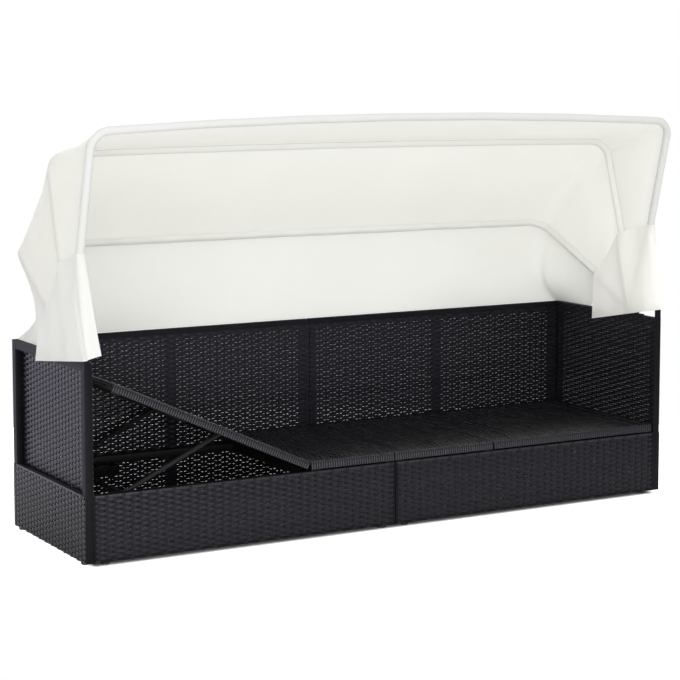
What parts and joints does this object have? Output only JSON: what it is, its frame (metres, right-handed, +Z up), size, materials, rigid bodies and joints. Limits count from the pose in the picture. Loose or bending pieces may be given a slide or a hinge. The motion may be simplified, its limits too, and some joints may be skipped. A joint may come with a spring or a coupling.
{
  "type": "outdoor daybed with canopy",
  "caption": "Wicker outdoor daybed with tall ends and back, seat panels whose outer parts lift as backrests on notched legs, and a folding cloth hood on hinged bows.",
  "frame": {"origin": "on the floor, under the middle of the overall box", "axes": "+X along the bed to the sitter's left, which is the right in the picture, +Y to the bed's back, +Z up"},
  "size_m": [2.0056, 0.6868, 1.24],
  "materials": {
    "frame": "black powder coat, satin",
    "wicker": "woven flat plastic strand, black",
    "fittings": "zinc plated",
    "feet": "matt",
    "bows": "light powder coat under cloth sleeves",
    "cloth": "plain weave, off-white"
  },
  "bodies": {
    "bed": {"left_base_frame": "frame", "left_front_weave": "wicker", "left_back_frame": "frame", "left_back_weave": "wicker", "left_side_frame": "frame", "left_side_upper_weave": "wicker", "left_side_lower_weave": "wicker", "left_front_joining_bolt": "fittings", "left_rear_joining_bolt": "fittings", "left_foot_front_inner": "feet", "left_foot_front_outer": "feet", "left_foot_rear_inner": "feet", "left_foot_rear_outer": "feet", "left_side_foot_front": "feet", "left_side_foot_rear": "feet", "left_seat_frame": "frame", "left_seat_weave": "wicker", "left_hinge_rod": "fittings", "left_front_rack": "frame", "left_rear_rack": "frame", "left_canopy_bracket": "frame", "left_canopy_bolt": "fittings", "right_base_frame": "frame", "right_front_weave": "wicker", "right_back_frame": "frame", "right_back_weave": "wicker", "right_side_frame": "frame", "right_side_upper_weave": "wicker", "right_side_lower_weave": "wicker", "right_front_joining_bolt": "fittings", "right_rear_joining_bolt": "fittings", "right_foot_front_inner": "feet", "right_foot_front_outer": "feet", "right_foot_rear_inner": "feet", "right_foot_rear_outer": "feet", "right_side_foot_front": "feet", "right_side_foot_rear": "feet", "right_seat_frame": "frame", "right_seat_weave": "wicker", "right_hinge_rod": "fittings", "right_front_rack": "frame", "right_rear_rack": "frame", "right_canopy_bracket": "frame", "right_canopy_bolt": "fittings", "canopy_rear_curtain": "cloth"},
    "left_backrest": {"left_backrest_frame": "frame", "left_backrest_weave": "wicker", "left_leg_pivot_rod": "fittings"},
    "left_leg": {"left_support_leg": "frame"},
    "right_backrest": {"right_backrest_frame": "frame", "right_backrest_weave": "wicker", "right_leg_pivot_rod": "fittings"},
    "right_leg": {"right_support_leg": "frame"},
    "rear_bow": {"canopy_rear_bow": "bows"},
    "middle_bow": {"canopy_middle_bow": "bows", "canopy_middle_cloth": "cloth", "canopy_left_skirt": "cloth", "canopy_right_skirt": "cloth"},
    "front_bow": {"canopy_front_bow": "bows", "canopy_front_cloth": "cloth"}
  },
  "joints": [
    {"name": "left_backrest_tilt", "type": "hinge", "parent": "bed", "child": "left_backrest", "pos_m": [-0.28786, -0.00462, 0.22], "axis": [0, 1, 0], "range_deg": [-24.5, 25.5]},
    {"name": "left_leg_swing", "type": "hinge", "parent": "left_backrest", "child": "left_leg", "pos_m": [-0.55805, -0.00462, 0.33379], "axis": [0, -1, 0], "range_deg": [-45.6, 47.5]},
    {"name": "right_backrest_tilt", "type": "hinge", "parent": "bed", "child": "right_backrest", "pos_m": [0.35614, -0.00462, 0.22], "axis": [0, -1, 0], "range_deg": [0, 50]},
    {"name": "right_leg_swing", "type": "hinge", "parent": "right_backrest", "child": "right_leg", "pos_m": [0.61994, -0.00462, 0.2115], "axis": [0, 1, 0], "range_deg": [0, 93.1]},
    {"name": "rear_bow_fold", "type": "hinge", "parent": "bed", "child": "rear_bow", "pos_m": [0, -0.16462, 0.592], "axis": [-1, 0, 0], "range_deg": [0, 22.5], "deforming": ["canopy_rear_curtain", "canopy_left_skirt", "canopy_right_skirt"]},
    {"name": "middle_bow_fold", "type": "hinge", "parent": "rear_bow", "child": "middle_bow", "pos_m": [0, -0.16462, 0.592], "axis": [-1, 0, 0], "range_deg": [0, 36.5], "deforming": ["canopy_middle_cloth"]},
    {"name": "front_bow_fold", "type": "hinge", "parent": "middle_bow", "child": "front_bow", "pos_m": [0, -0.16462, 0.592], "axis": [-1, 0, 0], "range_deg": [0, 22.5], "deforming": ["canopy_front_cloth"]}
  ],
  "couplings": [
    {"joint": "left_leg_swing", "follows": "left_backrest_tilt", "ratio": 1.86},
    {"joint": "right_leg_swing", "follows": "right_backrest_tilt", "ratio": 1.86},
    {"joint": "middle_bow_fold", "follows": "rear_bow_fold", "ratio": 1.6222},
    {"joint": "front_bow_fold", "follows": "rear_bow_fold", "ratio": 1}
  ]
}
